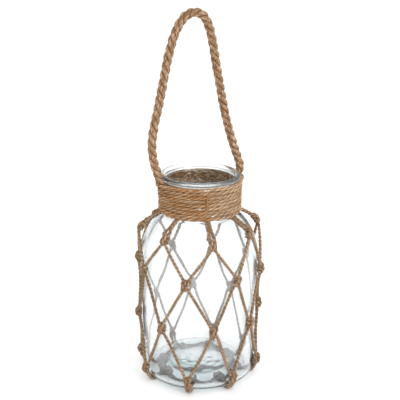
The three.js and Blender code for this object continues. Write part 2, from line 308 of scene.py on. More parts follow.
# ---- materials ----
class Nodes:
    """The nodes of a material or a world, made and linked in one call each."""

    def __init__(self, owner):
        owner.use_nodes = True
        self.owner = owner
        self.tree = owner.node_tree
        self.tree.nodes.clear()

    def add(self, kind, inputs=None, **settings):
        node = self.tree.nodes.new("ShaderNode" + kind)
        for key, value in settings.items():
            setattr(node, key, value)
        for key, value in (inputs or {}).items():
            if isinstance(value, bpy.types.NodeSocket):
                self.tree.links.new(value, node.inputs[key])
            else:
                node.inputs[key].default_value = value
        return node

    def math(self, operation, first, second=0.0):
        return self.add("Math", {0: first, 1: second}, operation=operation).outputs[0]

    def mix(self, factor, first, second, blend="MIX"):
        node = self.add("Mix", {0: factor, 6: first, 7: second}, data_type="RGBA", blend_type=blend)
        return node.outputs[2]

    def ramp(self, factor, stops):
        node = self.add("ValToRGB", {"Fac": factor})
        elements = node.color_ramp.elements
        while len(elements) < len(stops):
            elements.new(0.5)
        for element, (position, colour) in zip(elements, stops):
            element.position = position
            element.color = (*colour, 1)
        return node.outputs["Color"]

    def finish(self, surface, **others):
        """Links a material's surface to its output, and gives the material."""
        self.add("OutputMaterial", {"Surface": surface.outputs[0], **others})
        return self.owner


def material_nodes(name):
    return Nodes(bpy.data.materials.new(name))


def jute_material(
    name, light, mid, dark, groove, stain_and_shade=(1.0, 1.0, 1.0),
    streak=(2.4, 2.4, 0.22), hair=(7.0, 7.0, 0.6), bump=0.5,
):
    """Fibres of three tones. streak and hair are how close the coarse and the fine fibres lie, round
    the cord and along it. tint's red is the depth in a groove, where the groove colour is painted shade,
    and its green how far the last colour darkens the jute: painted shade on the net, the glue's darker mark
    on the wrap."""
    nodes = material_nodes(name)
    strand = nodes.add("Attribute", attribute_name="strand").outputs["Vector"]
    tint = nodes.add("Attribute", attribute_name="tint").outputs["Color"]
    split = nodes.add("SeparateColor", {0: tint})
    groove_shade, stained_and_shaded = split.outputs[0], split.outputs[1]

    def noise(closeness, detail, roughness):
        where = nodes.add("VectorMath", {0: strand, 1: closeness}, operation="MULTIPLY").outputs[0]
        settings = {"Vector": where, "Scale": 1.0, "Detail": detail, "Roughness": roughness}
        return nodes.add("TexNoise", settings).outputs["Fac"]

    fibres = noise(streak, 5.0, 0.62)
    patches = noise(tuple(0.22 * size for size in streak), 3.0, 0.5)
    hairs = noise(hair, 3.0, 0.7)
    colour = nodes.ramp(fibres, [(0.34, dark), (0.50, mid), (0.66, light)])
    pale = nodes.ramp(patches, [(0.36, (0.70, 0.62, 0.54)), (0.62, (1.16, 1.17, 1.18))])
    colour = nodes.mix(1.0, colour, pale, "MULTIPLY")
    thin = nodes.ramp(hairs, [(0.30, (0.72, 0.66, 0.60)), (0.60, (1.08, 1.08, 1.08))])
    colour = nodes.mix(0.7, colour, thin, "MULTIPLY")
    # Painted shade: the groove colour darkens the grooves between plies and the creases where cords touch.
    colour = nodes.mix(nodes.math("MULTIPLY", groove_shade, 0.92), colour, (*groove, 1))
    # Painted shade on the net's sides against the glass and under the foot; on the wrap this channel is the
    # glue's darker mark.
    colour = nodes.mix(stained_and_shaded, colour, nodes.mix(1.0, colour, (*stain_and_shade, 1), "MULTIPLY"))
    height = nodes.math("ADD", fibres, nodes.math("MULTIPLY", hairs, 0.6))
    relief = nodes.add("Bump", {"Height": height, "Strength": bump, "Distance": 0.0006})
    roughness = nodes.ramp(hairs, [(0.2, (0.95,) * 3), (0.8, (0.72,) * 3)])
    shader = nodes.add("BsdfPrincipled", {
        "Base Color": colour, "Roughness": roughness, "Normal": relief.outputs[0],
        "Specular IOR Level": 0.15,
        "Sheen Weight": 0.16, "Sheen Roughness": 0.45, "Sheen Tint": (1.0, 0.86, 0.68, 1),
    })
    return nodes.finish(shader)


def glass_material():
    """tint's red is a milky veil, raised at the lip's front as painted light; its green greenness; and its
    blue painted shade, which turns to painted light below 0.
    """
    nodes = material_nodes("clear_glass")
    tint = nodes.add("Attribute", attribute_name="tint").outputs["Color"]
    split = nodes.add("SeparateColor", {0: tint})
    veil_and_lip_light, green, painted_shade_and_light = split.outputs[0], split.outputs[1], split.outputs[2]
    clear = nodes.math("SUBTRACT", 1.0, nodes.math("MULTIPLY", veil_and_lip_light, 0.075))
    # Painted shade: darker towards grazing angles and where the blue channel says, standing in for the dark
    # surroundings that the glass's edges show.
    facing = nodes.add("LayerWeight", {"Blend": 0.35}).outputs["Facing"]
    edge_shade = nodes.math("ADD", facing, nodes.math("MULTIPLY", painted_shade_and_light, 0.34))
    colour = nodes.ramp(edge_shade, [
        (0.0, (0.978, 0.982, 0.988)), (0.50, (0.955, 0.965, 0.975)), (0.64, (0.70, 0.73, 0.76)),
        (0.80, (0.46, 0.48, 0.50)), (1.0, (0.24, 0.255, 0.27)),
    ])
    colour = nodes.mix(green, colour, nodes.mix(1.0, colour, (0.06, 0.33, 0.34, 1), "MULTIPLY"))
    where = nodes.add("TexCoord").outputs["Object"]
    ripple = nodes.add("TexNoise", {"Vector": where, "Scale": 38.0, "Detail": 1.0, "Roughness": 0.4})
    relief = nodes.add("Bump", {"Height": ripple.outputs["Fac"], "Strength": 0.08, "Distance": 0.002})
    shader = nodes.add("BsdfPrincipled", {
        "Base Color": colour, "Roughness": 0.0, "IOR": 1.5, "Transmission Weight": clear,
        "Normal": relief.outputs[0],
    })
    through = nodes.add("BsdfTransparent", {"Color": (0.985, 0.99, 0.99, 1)})
    path = nodes.add("LightPath")
    both = nodes.add(
        "MixShader", {0: path.outputs["Is Shadow Ray"], 1: shader.outputs[0], 2: through.outputs[0]}
    )
    depth = nodes.add("VolumeAbsorption", {"Color": (0.45, 0.72, 0.75, 1), "Density": 12.0})
    return nodes.finish(both, Volume=depth.outputs[0])


def glue_material():
    nodes = material_nodes("clear_glue")
    shader = nodes.add(
        "BsdfPrincipled",
        {"Base Color": (0.90, 0.86, 0.78, 1), "Roughness": 0.12, "IOR": 1.45, "Transmission Weight": 0.3},
    )
    return nodes.finish(shader)


def floor_material():
    nodes = material_nodes("floor_paper")
    where = nodes.add("TexCoord").outputs["Object"]
    grain = nodes.add("TexNoise", {"Vector": where, "Scale": 60.0, "Detail": 4.0})
    colour = nodes.ramp(grain.outputs["Fac"], [(0.3, (0.93, 0.93, 0.93)), (0.7, (0.95, 0.95, 0.95))])
    shader = nodes.add(
        "BsdfPrincipled", {"Base Color": colour, "Roughness": 0.9, "Specular IOR Level": 0.1}
    )
    return nodes.finish(shader)


# The net's last colour is painted shade, grey and dark, for sides against the glass and the twine under the
# foot.
NET_JUTE = jute_material(
    "net_jute", (0.58, 0.43, 0.30), (0.38, 0.265, 0.17), (0.18, 0.105, 0.058), (0.08, 0.034, 0.013),
    stain_and_shade=(0.16, 0.18, 0.25),
)
WRAP_JUTE = jute_material(
    "wrap_jute", (0.74, 0.57, 0.41), (0.53, 0.37, 0.23), (0.26, 0.145, 0.068), (0.14, 0.06, 0.023),
    stain_and_shade=(0.92, 0.71, 0.48), bump=0.9,
)
ROPE_JUTE = jute_material(
    "rope_jute", (0.70, 0.51, 0.35), (0.385, 0.245, 0.145), (0.115, 0.046, 0.016), (0.13, 0.046, 0.013),
    streak=(1.15, 1.15, 0.2), bump=1.0,
)
SOAKED_JUTE = jute_material(
    "soaked_jute", (0.60, 0.43, 0.29), (0.20, 0.125, 0.07), (0.075, 0.038, 0.018), (0.05, 0.02, 0.008),
    streak=(0.3, 0.3, 0.9), hair=(0.9, 0.9, 2.2),
)
GLASS = glass_material()
GLUE = glue_material()


# ---- handle ----
def handle_path():
    """The rope from its end under the wrap on one side to the one on the other side."""
    tail = [
        (reach, height, thick / ROPE_RADIUS, wide / ROPE_RADIUS) for reach, height, thick, wide in TAIL_LINE
    ]
    arch = [(reach, height, 1, 1) for reach, height in HANDLE_LINE]
    far = [(-reach, height, thick, wide) for reach, height, thick, wide in tail]
    rows = np.array([*tail[::-1], *arch, *far], float)
    rows[:, 1] += LIFT
    return np.hstack([polar(HANDLE_AZIMUTH, rows[:, 0], rows[:, 1]), rows[:, 2:]])


def build_handle():
    path = smooth_line(handle_path())
    out = polar(HANDLE_AZIMUTH, 1, 0)
    ridge = 0.16
    builder = Builder()

    def outline(angle, at):
        swell = 1 + 0.02 * np.sin(at * 0.43) + 0.015 * np.sin(at * 0.17 + 1)
        reach, groove = plied(
            angle, at, ROPE_RADIUS * ROPE_LOOK, plies=3, lay=24.5, ply=0.56,
            yarns=11, ridge=ridge, groove_from=0.6,
        )
        return (reach - ridge / 2) * swell, groove

    def flat(line):
        return line[:, 3], line[:, 4], np.broadcast_to(out, (len(line), 3))

    line, at = builder.tube(path, sides=54, step=0.6, outline=outline, flat=flat)
    rope = builder.make("handle_cord", ROPE_JUTE, "handle_rope")
    centre = line[:, :3]
    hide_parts("handle_rope", "handle_tail_left", "handle_tail_right")
    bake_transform(rope)
    return centre


rope_centre = build_handle()


# ---- glass jar ----
def arc(centre_radius, centre_height, size, start, stop, steps):
    angle = np.radians(np.linspace(start, stop, steps))
    return [*zip(centre_radius + size * np.cos(angle), centre_height + size * np.sin(angle))]


def jar_profile():
    """The jar's section from the axis under the foot, up the outside, over the lip and down inside."""
    rise = np.linspace(0, 1, 40) ** 0.7
    heights = BODY_HEIGHT + (NECK_BASE - BODY_HEIGHT) * np.sin(rise * math.pi / 2)
    outside = [*zip(glass_radius(heights), heights)]
    inside = [(radius - WALL, height - WALL / 2) for radius, height in outside[::-1]]
    wall = [(float(glass_radius(h)), h) for h in np.linspace(HEEL, BODY_HEIGHT, 24)[1:-1]]
    inner_wall = [(radius - WALL, height) for radius, height in wall[::-1] if height > 14]
    return np.array(
        [
            *UNDERSIDE,
            *arc(FOOT_OUTER, HEEL, HEEL, -90, 0, 14),
            *wall,
            *outside,
            *[(NECK_RADIUS, height) for height in (180, 190, 200, LIP_HEIGHT - 4.4)],
            *arc(LIP_RADIUS, LIP_HEIGHT, LIP_TUBE, -118, 178, 34),
            *[(NECK_RADIUS - WALL, height) for height in (LIP_HEIGHT - 5.4, 198, 185)],
            *inside,
            *inner_wall,
            *INNER_FLOOR,
        ]
    )


def jar_surface():
    """The jar's points, its quads, and the triangles that close it at the axis."""
    profile, _ = evenly(jar_profile(), 0.9)
    for _ in range(6):  # rounds the corners that pressed glass doesn't have
        profile[1:-1] = (profile[:-2] + 2 * profile[1:-1] + profile[2:]) / 4
    profile[0, 0] = profile[-1, 0] = 0
    segments = 144
    azimuth = whole_turn(segments)[None]
    radius, height = profile[1:-1, :1], profile[1:-1, 1:]
    half = np.argmax(profile[:, 1])
    inner = (np.arange(1, len(profile) - 1) > half)[:, None]
    # Pressed glass isn't quite even inside, which bends what is seen through it.
    uneven = (
        0.14 * np.sin(2 * azimuth + 0.6 + height * 0.03)
        + 0.10 * np.sin(5 * azimuth - height * 0.05 + 2)
        + 0.05 * np.sin(9 * azimuth + height * 0.09)
        + 0.06 * np.sin(height * 0.21 + 3 * azimuth)
    )
    fade = smoothstep(radius, 20, 40)
    # The middle of the underside is rippled.
    underside = np.where(inner, 0, 1 - smoothstep(height, 7.2, 7.6)) * smoothstep(radius, 4, 14)
    underside = underside * (1 - smoothstep(radius, 28, 36))
    swirl = 0.22 * np.sin(4 * azimuth + 0.25 * radius) + 0.12 * np.sin(7 * azimuth - 0.3 * radius + 1)
    radius = radius + uneven * fade * np.where(inner, 1, 0.12)
    points = polar(azimuth, radius, height + LIFT + underside * swirl)
    rows = len(points)
    low, high = polar(0, 0, profile[0, 1] + LIFT), polar(0, 0, profile[-1, 1] + LIFT)
    vertices = np.vstack([points.reshape(-1, 3), low, high])
    count = rows * segments
    last = count - segments
    ring = np.arange(segments)
    following = (ring + 1) % segments
    fans = [np.array([count, b, a]) for a, b in zip(ring, following)]
    fans += [np.array([count + 1, last + a, last + b]) for a, b in zip(ring, following)]
    return vertices, grid_faces(rows, segments), fans


def paint_jar(vertices):
    """The looks of the glass by place: a milky veil, greenness, and painted shade and light."""
    from_axis, above = np.hypot(vertices[:, 0], vertices[:, 1]), vertices[:, 2] - LIFT
    to_front = -vertices[:, 1]
    front = smoothstep(to_front, -24, 0)
    lip = smoothstep(above, LIP_HEIGHT - 6, LIP_HEIGHT - 4)
    veil_and_lip_light = (1 - smoothstep(above, 150, 172)) * smoothstep(above, 10, 40)
    # The lip's front gets more veil, which lightens it: painted light in place of reflections of the lamps.
    veil_and_lip_light = veil_and_lip_light + 0.6 * lip * front
    # Painted shade darkens the foot's edge and the lip's top at the back; painted light clears the rest of
    # the lip and the middle of the floor.
    heel = (1 - smoothstep(above, 1, 8)) * smoothstep(from_axis, 50, 54)
    top = smoothstep(above, LIP_HEIGHT + 1, LIP_HEIGHT + 2)
    top = top * smoothstep(from_axis, LIP_RADIUS - 0.5, LIP_RADIUS + 0.5) * (1 - front)
    lip_painted_light = lip * (1 - top) * (0.3 + 1.0 * front)
    floor_painted_light = 0.4 * (1 - smoothstep(from_axis, 38, 44)) * (1 - smoothstep(above, 11, 12))
    # The thick middle of the base is streaked with green towards the front.
    green = (1 - smoothstep(from_axis, 31, 39)) * (1 - smoothstep(above, 6.9, 7.5))
    green = green * smoothstep(to_front - 0.3 * vertices[:, 0], -10, 16)
    green = green * (0.6 + 0.4 * np.sin(from_axis * 0.8 + vertices[:, 0] * 0.15))
    painted_shade_and_light = 1.05 * heel + 2.0 * top - lip_painted_light - floor_painted_light
    return np.stack([veil_and_lip_light, green, painted_shade_and_light, np.ones(len(vertices))], 1)


def build_jar():
    vertices, quads, fans = jar_surface()
    jar = make_mesh("jar", vertices, quads, fans, GLASS, strand=vertices, tint=paint_jar(vertices))
    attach(jar, "lantern")
    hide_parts("glass_jar")


build_jar()


# ---- knots ----
FORM_RADIUS = 1.4  # of the strands that a knot is tied with


def tie_knot(seed, steps):
    """A doubled overhand knot, drawn tight: two strands side by side go through it from -y to +y,
    and each comes out on the side that it went in. z is away from the glass. Returns both centrelines."""
    count, slack, end_x, end_y, radius = 90, 25.0, 5.0, 11.0, FORM_RADIUS
    dice = np.random.default_rng(seed)
    # A loose knot's curve, with its ends led straight out, and the second strand beside the first.
    t = np.linspace(-2.45, 2.45, count)
    loop = np.stack([2.56 * (t**3 - 3 * t), 1.15 * (t**5 - 10 * t), 1.72 * (t**4 - 4 * t**2)], 1)
    loop[:, 2] += radius - loop[:, 2].min()
    to_end = smoothstep(np.abs(t), 1.95, 2.45)[:, None]
    straight = np.stack([0 * t, np.sign(t) * (8 + (np.abs(t) - 1.95) * 14), 0 * t + radius + 2], 1)
    loop = loop * (1 - to_end) + straight * to_end
    strands = np.stack([loop - [0.9, 0, 0], loop + [0.9, 0, 0]])
    strands += dice.normal(0, 0.05, strands.shape)
    pins = np.array([[[side * end_x, -end_y, radius], [side * end_x, end_y, radius]] for side in (-1, 1)])
    start_pins = strands[:, [0, -1]].copy()
    start_length = np.linalg.norm(np.diff(strands, axis=1), axis=2).sum(1).mean()
    apart = 2 * radius * 0.76  # the strands press into each other
    index = np.tile(np.arange(count), 2)
    owner = np.repeat([0, 1], count)
    same = owner[:, None] == owner[None]
    order = np.abs(index[:, None] - index[None])
    beside = order[:count, count:] <= 8
    in_knot = np.abs(t) < 1.75
    each = np.arange(count)
    # Each step shortens and smooths the strands, keeps them off each other, and holds their ends.
    for step in range(steps):
        drawn = smoothstep(step / steps, 0, 0.6)
        gap = (start_length * (1 - drawn) + (2 * end_y + slack) * drawn) / (count - 1)
        moved = min(1, step / (steps * 0.3))
        ends = start_pins * (1 - moved) + pins * moved
        strands[:, 1:-1] += 0.25 * ((strands[:, :-2] + strands[:, 2:]) / 2 - strands[:, 1:-1])
        flat = strands.reshape(-1, 3)
        between = flat[:, None] - flat[None]
        distance = np.sqrt((between**2).sum(2)) + 1e-9
        near = same & (order * gap < apart * 1.35)
        push = np.where(near, 0, np.clip(apart - distance, 0, None))
        shift = (between / distance[..., None] * (push * 0.5)[..., None]).sum(1)
        shift /= np.sqrt(np.maximum(1, (push > 0).sum(1)))[:, None]
        # In the knot the two strands stay side by side.
        partner = count + np.where(beside, distance[:count, count:], 99).argmin(1)
        loose = np.where(in_knot, np.clip(distance[each, partner] - apart, 0, None), 0)
        closer = unit(flat[partner] - flat[each]) * (loose * 0.5)[:, None]
        shift[:count] += closer
        np.add.at(shift, partner, -closer)
        strands = (flat + shift).reshape(2, count, 3)
        for _ in range(6):
            for first in (0, 1):
                a, b = strands[:, first:-1:2], strands[:, first + 1 :: 2]
                pairs = min(a.shape[1], b.shape[1])
                link = b[:, :pairs] - a[:, :pairs]
                size = np.linalg.norm(link, axis=2, keepdims=True)
                pull = link * (0.5 * (1 - gap / size))
                strands[:, first:-1:2][:, :pairs] += pull
                strands[:, first + 1 :: 2][:, :pairs] -= pull
            strands[:, 0], strands[:, -1] = ends[:, 0], ends[:, 1]
        strands[..., 2] = np.maximum(strands[..., 2], radius)
    return strands


def knot_forms():
    """Four shapes: two knots as tied, and the same turned upside down."""
    steps = 700
    forms = [tie_knot(seed, steps) for seed in (1, 2)]
    turned = [form[::-1, ::-1] * [-1, -1, 1] for form in forms]
    return forms + turned


FORMS = knot_forms()
ROW_HEIGHTS = [12.7, 67.2, 117.9, 161.9]
# How far hand-tied knots sit from an even net, (along the rim, up), by row and by half columns
# from the first azimuth. The rest are left to chance.
SEEN_SHIFTS = [
    {-5: (3, 1), -3: (-3, -0.5), -1: (2.5, -0.5), 1: (1, 0.5), 3: (3, 0.5), 7: (-4, 2), 9: (-4, -2)},
    {-4: (-3, -1), -2: (-2, 0), 0: (3.5, -0.5), 2: (0, -1), 4: (-3, 2), 8: (-5, 1), 10: (-4, -1)},
    {-5: (3, 2), -3: (-3, 3), -1: (0, -1), 1: (2.5, 0.5), 3: (1, -1.5), 9: (-4, -3)},
    {-6: (-6, -9), -4: (0, -3), -2: (0, -4), 0: (1, -6), 2: (-1, -2), 4: (3, -3)},
]


def plan_knots():
    """Each knot's place and shape, by (row, half column)."""
    plan = {}
    for row, seen in enumerate(SEEN_SHIFTS):
        seen = {column % HALF_COLUMNS: shift for column, shift in seen.items()}
        for column in range((row + 1) % 2, HALF_COLUMNS, 2):
            shift = seen.get(column, tuple(rng.uniform(-2.5, 2.5, 2)))
            plan[row, column] = {
                "shift": shift,
                "form": int(rng.integers(4)),
                "turn": rng.uniform(-0.22, 0.22),
                "size": rng.uniform(1.04, 1.16),
            }
    return plan


KNOTS = plan_knots()
SHOULDER_ROW = 3
SHOULDER_KNOT_RADIUS, SHOULDER_TILT = 53.9, math.radians(36)
# How far apart two legs run up to the wrap, by half columns from the first azimuth.
LEGS_APART = {0: 0.72, 14: 0.72, 2: 1.5, 4: 1.5, 12: 1.1, 8: 1.3}


def knot_frame(row, column):
    """A knot's azimuth, radius and centre, and the directions along the rim, up the glass and off it."""
    shift_x, shift_y = KNOTS[row, column]["shift"]
    height = ROW_HEIGHTS[row] + shift_y
    shoulder = row == SHOULDER_ROW
    radius = SHOULDER_KNOT_RADIUS - shift_y * 0.6 if shoulder else float(glass_radius(height)) + 0.1
    tilt = SHOULDER_TILT if shoulder else 0.0
    azimuth = FIRST_AZIMUTH + column * HALF_STEP + shift_x / radius
    centre = polar(azimuth, radius, height + LIFT)
    out, along = polar(azimuth, 1, 0), np.array([math.cos(azimuth), math.sin(azimuth), 0])
    if shoulder:
        centre = centre + out * 0.4
    off = out * math.cos(tilt) + UP * math.sin(tilt)
    up = UP * math.cos(tilt) - out * math.sin(tilt)
    return azimuth, radius, centre, along, up, off


def knot_strand(row, column, strand):
    """One strand of a knot in its place on the glass, cut off where the net's straight parts begin."""
    knot = KNOTS[row, column]
    shoulder = row == SHOULDER_ROW
    low = {0: -5.2, SHOULDER_ROW: -6.2}.get(row, -7.4)
    high = 6.2 if shoulder else 7.4
    local = FORMS[knot["form"]][strand].copy()
    inside = np.flatnonzero((local[:, 1] > low) & (local[:, 1] < high))
    local = local[inside[0] : inside[-1] + 1]
    turn = knot["turn"] * (1 - smoothstep(np.abs(local[:, 1]), 4, 10))
    x, y = local[:, 0], local[:, 1]
    x, y = x * np.cos(turn) - y * np.sin(turn), x * np.sin(turn) + y * np.cos(turn)
    size = knot["size"] * (0.96 if shoulder else 1.0)
    width, stretch = size * 1.08, 1.02 if shoulder else 0.94
    _, radius, centre, along, up, off = knot_frame(row, column)
    round_glass = x**2 / (2 * radius)
    x, y = x * width, y * size * stretch
    height = OFF_GLASS + (local[:, 2] - FORM_RADIUS) * 0.9 * size - round_glass
    return centre + x[:, None] * along + y[:, None] * up + height[:, None] * off


# ---- net ----
def leg_path(own, side):
    """One leg of a cord, from the ring under the jar to its end under the wrap."""
    shared = (own + side) % HALF_COLUMNS
    own_strand, shared_strand = (0, 1) if side < 0 else (1, 0)
    meets = [
        (0, own, own_strand), (1, shared, shared_strand),
        (2, own, own_strand), (SHOULDER_ROW, shared, shared_strand),
    ]
    azimuth = knot_frame(0, own)[0]
    lane = side * 1.5  # the two legs of a cord lie side by side
    rows = []

    def add(points, thick=1.0, wide=1.0):
        points = np.atleast_2d(points)
        rows.append(np.hstack([points, np.tile([thick, wide], (len(points), 1))]))

    # Under the foot, pressed flat, and round the heel.
    for reach in (46.0, 49.0, FOOT_OUTER):
        add(polar(azimuth + lane / reach, reach, LIFT / 2), 0.72, 1.2)
    turn_radius = HEEL + OFF_GLASS
    for degrees in (30, 52, 72):
        angle = math.radians(degrees)
        reach = FOOT_OUTER + turn_radius * math.sin(angle)
        spread = lane * (1 + 0.3 * degrees / 72)
        add(polar(azimuth + spread / reach, reach, LIFT + HEEL - turn_radius * math.cos(angle)))
    strands = [knot_strand(*place) for place in meets]
    add(strands[0])
    for row, (below, above) in enumerate(zip(strands, strands[1:])):
        # Straight across to the next knot, on the glass where the shoulder doesn't leave it.
        first, last = below[-1], above[0]
        start, stop = math.atan2(first[0], -first[1]), math.atan2(last[0], -last[1])
        turn = turn_to(start, stop)
        bow = rng.normal(0, 0.5)
        gaps = [math.hypot(*end[:2]) - float(glass_radius(end[2] - LIFT)) for end in (first, last)]
        for share in (0.15, 0.38, 0.62, 0.85):
            height = first[2] + (last[2] - first[2]) * share
            if row < SHOULDER_ROW - 1:
                near = [max(0, 1 - away / 0.3) for away in (share, 1 - share)]
                lifted = near[0] * (gaps[0] - OFF_GLASS) + near[1] * (gaps[1] - OFF_GLASS)
                reach = float(glass_radius(height - LIFT)) + OFF_GLASS + lifted
            else:
                straight = math.hypot(*first[:2]) * (1 - share) + math.hypot(*last[:2]) * share
                reach = max(straight, float(glass_radius(height - LIFT)) + OFF_GLASS)
            add(polar(start + turn * share + bow * math.sin(math.pi * share) / reach, reach, height))
        add(above)
    # Up from the shoulder, and flat under the wrap.
    centre = FIRST_AZIMUTH + shared * HALF_STEP
    turn = turn_to(centre, knot_frame(SHOULDER_ROW, shared)[0])
    apart = LEGS_APART.get(shared, 1.0)
    for reach, height, spread, thick, wide, keep in (
        (50.0, 168.4, 1.55, 1, 1, 0.8),
        (45.5, 170.8, 1.6, 1, 1, 0.6),
        (41.4, 173.0, 1.65, 0.95, 1.05, 0.3),
        (38.7, 174.5, 1.8, 0.75, 1.1, 0.1),
        (37.0, 177.0, 1.9, 0.5, 1.2, 0),
        (36.9, 183.0, 1.9, 0.45, 1.2, 0),
    ):
        add(polar(centre + turn * keep - side * spread * apart / reach, reach, height + LIFT), thick, wide)
    return np.vstack(rows)


def hitch_path(azimuth):
    """The doubled end of a cord, looped over the ring with both legs drawn through the loop."""
    # (off the ring's middle, height above the ground, along the ring)
    half = [
        (5.6, 4.2, 1.4), (4.2, 2.1, 1.4), (0, 2.0, 1.5), (-4, 2.1, 1.5), (-5.6, 4.3, 1.8), (-4, 6.7, 2.3),
        (-0.5, 7.1, 2.7), (3.2, 6.7, 3.1), (5.3, 4.6, 3.2), (5.4, 2.4, 2.2),
    ]
    other_half = [(off, height, -lane) for off, height, lane in half[::-1]]
    off, height, lane = np.array(half + other_half).T
    reach = RING_RADIUS + off
    points = polar(azimuth - lane / reach, reach, height)
    return np.hstack([points, np.ones((len(points), 2))])


def twine_outline(radius, plies, lay, ply, phase, uneven_lay=0.0):
    """A hand-spun twine's outline. It swells and thins, and its lay may wander."""

    def outline(angle, at):
        swell = 1 + 0.05 * np.sin(at * 0.37 + phase) + 0.035 * np.sin(at * 0.93 + 2 * phase)
        swell = swell + 0.045 * np.sin(at * 0.11 + 5 * phase)
        wander = 2.4 * np.sin(at * 0.031) + 1.6 * np.sin(at * 0.083 + 1) + 0.8 * np.sin(at * 0.21)
        reach, groove = plied(angle + phase, at + uneven_lay * wander, radius, plies, lay, ply)
        return reach * swell, groove

    return outline


def off_jar(line):
    """The direction that a cord is pressed in: off the wall, and down from the foot."""
    share = smoothstep(line[:, 2:3], 2, 9)
    return unit(unit(line[:, :3] * [1, 1, 0]) * share - UP * (1 - share))


KNOT_REACH = 13.0  # from a knot's middle to where its strands have parted


def shade_net(builders, lines, sides):
    """Paints shade on the cords: darker sides where they touch each other, face the glass or lie under the
    foot.
    """
    points = [builder.points[0].reshape(-1, sides, 3) for builder in builders]
    shades = [builder.tint[0].reshape(-1, sides, 4) for builder in builders]
    for line, around, shade in zip(lines, points, shades):
        # Painted shade: a little on the sides against the glass, and full under the foot.
        inward = -((around - line[:, None]) * off_jar(line)[:, None]).sum(-1) / TWINE_RADIUS
        inside_foot = 1 - smoothstep(np.hypot(*line[:, :2].T), 51, 55)
        under = (1 - smoothstep(around[..., 2], 8, 10.5)) * inside_foot[:, None]
        shade[..., 1] = np.maximum(0.42 * smoothstep(inward, 0.0, 0.7), under)
    knots = [knot_frame(row, column)[2] for row, column in KNOTS]
    hitches = [polar(knot_frame(0, column)[0], RING_RADIUS, 4) for column in range(1, HALF_COLUMNS, 2)]
    for middle in knots + hitches:
        near = [np.flatnonzero(((line - middle) ** 2).sum(1) < KNOT_REACH**2) for line in lines]
        others = np.vstack([line[index] for line, index in zip(lines, near)])
        owner = np.repeat(np.arange(len(lines)), [len(index) for index in near])
        place = np.concatenate(near)
        for cord, index in enumerate(near):
            # Painted shade in the creases where cords press on each other at knots and hitches.
            away = np.linalg.norm(points[cord][index][:, :, None] - others, axis=-1)
            itself = (owner == cord) & (np.abs(index[:, None] - place) < 10)
            gap = np.where(itself[:, None], 99, away).min(-1) - 0.8 * TWINE_RADIUS
            crease = 0.95 * (1 - smoothstep(gap, 0.05, 1.0))
            shades[cord][index, :, 0] = np.maximum(shades[cord][index, :, 0], crease)


def build_net():
    sides = 14
    builders, centrelines = [], []
    for index in range(COLUMNS):
        own = 2 * index + 1
        azimuth = knot_frame(0, own)[0]
        path = np.vstack([leg_path(own, -1)[::-1], hitch_path(azimuth), leg_path(own, 1)])
        gaps = np.linalg.norm(np.diff(path[:, :3], axis=0), axis=1)
        path = path[np.concatenate([[True], gaps > 0.15])]  # no two points in one place
        builder = Builder()
        outline = twine_outline(TWINE_RADIUS, plies=2, lay=8.5, ply=0.68, phase=index)
        line, _ = builder.tube(
            smooth_line(path, 5), sides, step=0.5, outline=outline,
            flat=lambda line: (line[:, 3], line[:, 4], off_jar(line)), offset=1000.0 * index,
        )
        builders.append(builder)
        centrelines.append(line[:, :3])
    shade_net(builders, centrelines, sides)
    for index, builder in enumerate(builders):
        cord = builder.make(f"cord_{index + 1}", NET_JUTE, "net_twine")
        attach(cord, "lantern")
        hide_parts(f"net_cord_{index + 1}")
    return centrelines


net_lines = build_net()


def build_ring():
    """Three lengths of twine, plaited flat. The ring is lifted where the cords are hitched to it."""
    azimuth = np.linspace(0, 2 * math.pi, 481)
    from_hitch = off_line((azimuth - FIRST_AZIMUTH - HALF_STEP) * COLUMNS / 2) / (math.pi / 2)
    resting = 1.06 * RING_TWINE_RADIUS
    height = HITCH_MIDDLE + (resting - HITCH_MIDDLE) * smoothstep(from_hitch, 0.3, 0.8)
    builder = Builder()
    waves, twists = 24, 30
    lay = 2 * math.pi * RING_RADIUS / twists
    for lane in (-1, 0, 1):
        wander = 0.22 * np.sin(azimuth * waves + lane * 2 * math.pi / 3)
        path = polar(azimuth, RING_RADIUS + lane * RING_STEP + wander, height)
        outline = twine_outline(RING_TWINE_RADIUS, plies=2, lay=lay, ply=0.7, phase=lane)
        # shade=1.0 paints the whole ring dark: painted shade, as it lies under the jar's foot.
        builder.tube(path, sides=14, step=0.6, outline=outline, closed=True, shade=1.0)
    ring = builder.make("ring_cord", NET_JUTE, "net_twine")
    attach(ring, "lantern")
    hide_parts("base_ring")


build_ring()


# ---- wrap ----
def bulge(azimuth, height):
    """How far the wrap stands out over the rope's ends, at a height above the foot."""
    from_ends = off_line(azimuth - HANDLE_AZIMUTH)
    crown = 1 - smoothstep(from_ends, BULGE_FULL, BULGE_FADE)
    heights, sizes = zip(*WRAP_BULGE)
    return crown * np.interp(height, heights, sizes)


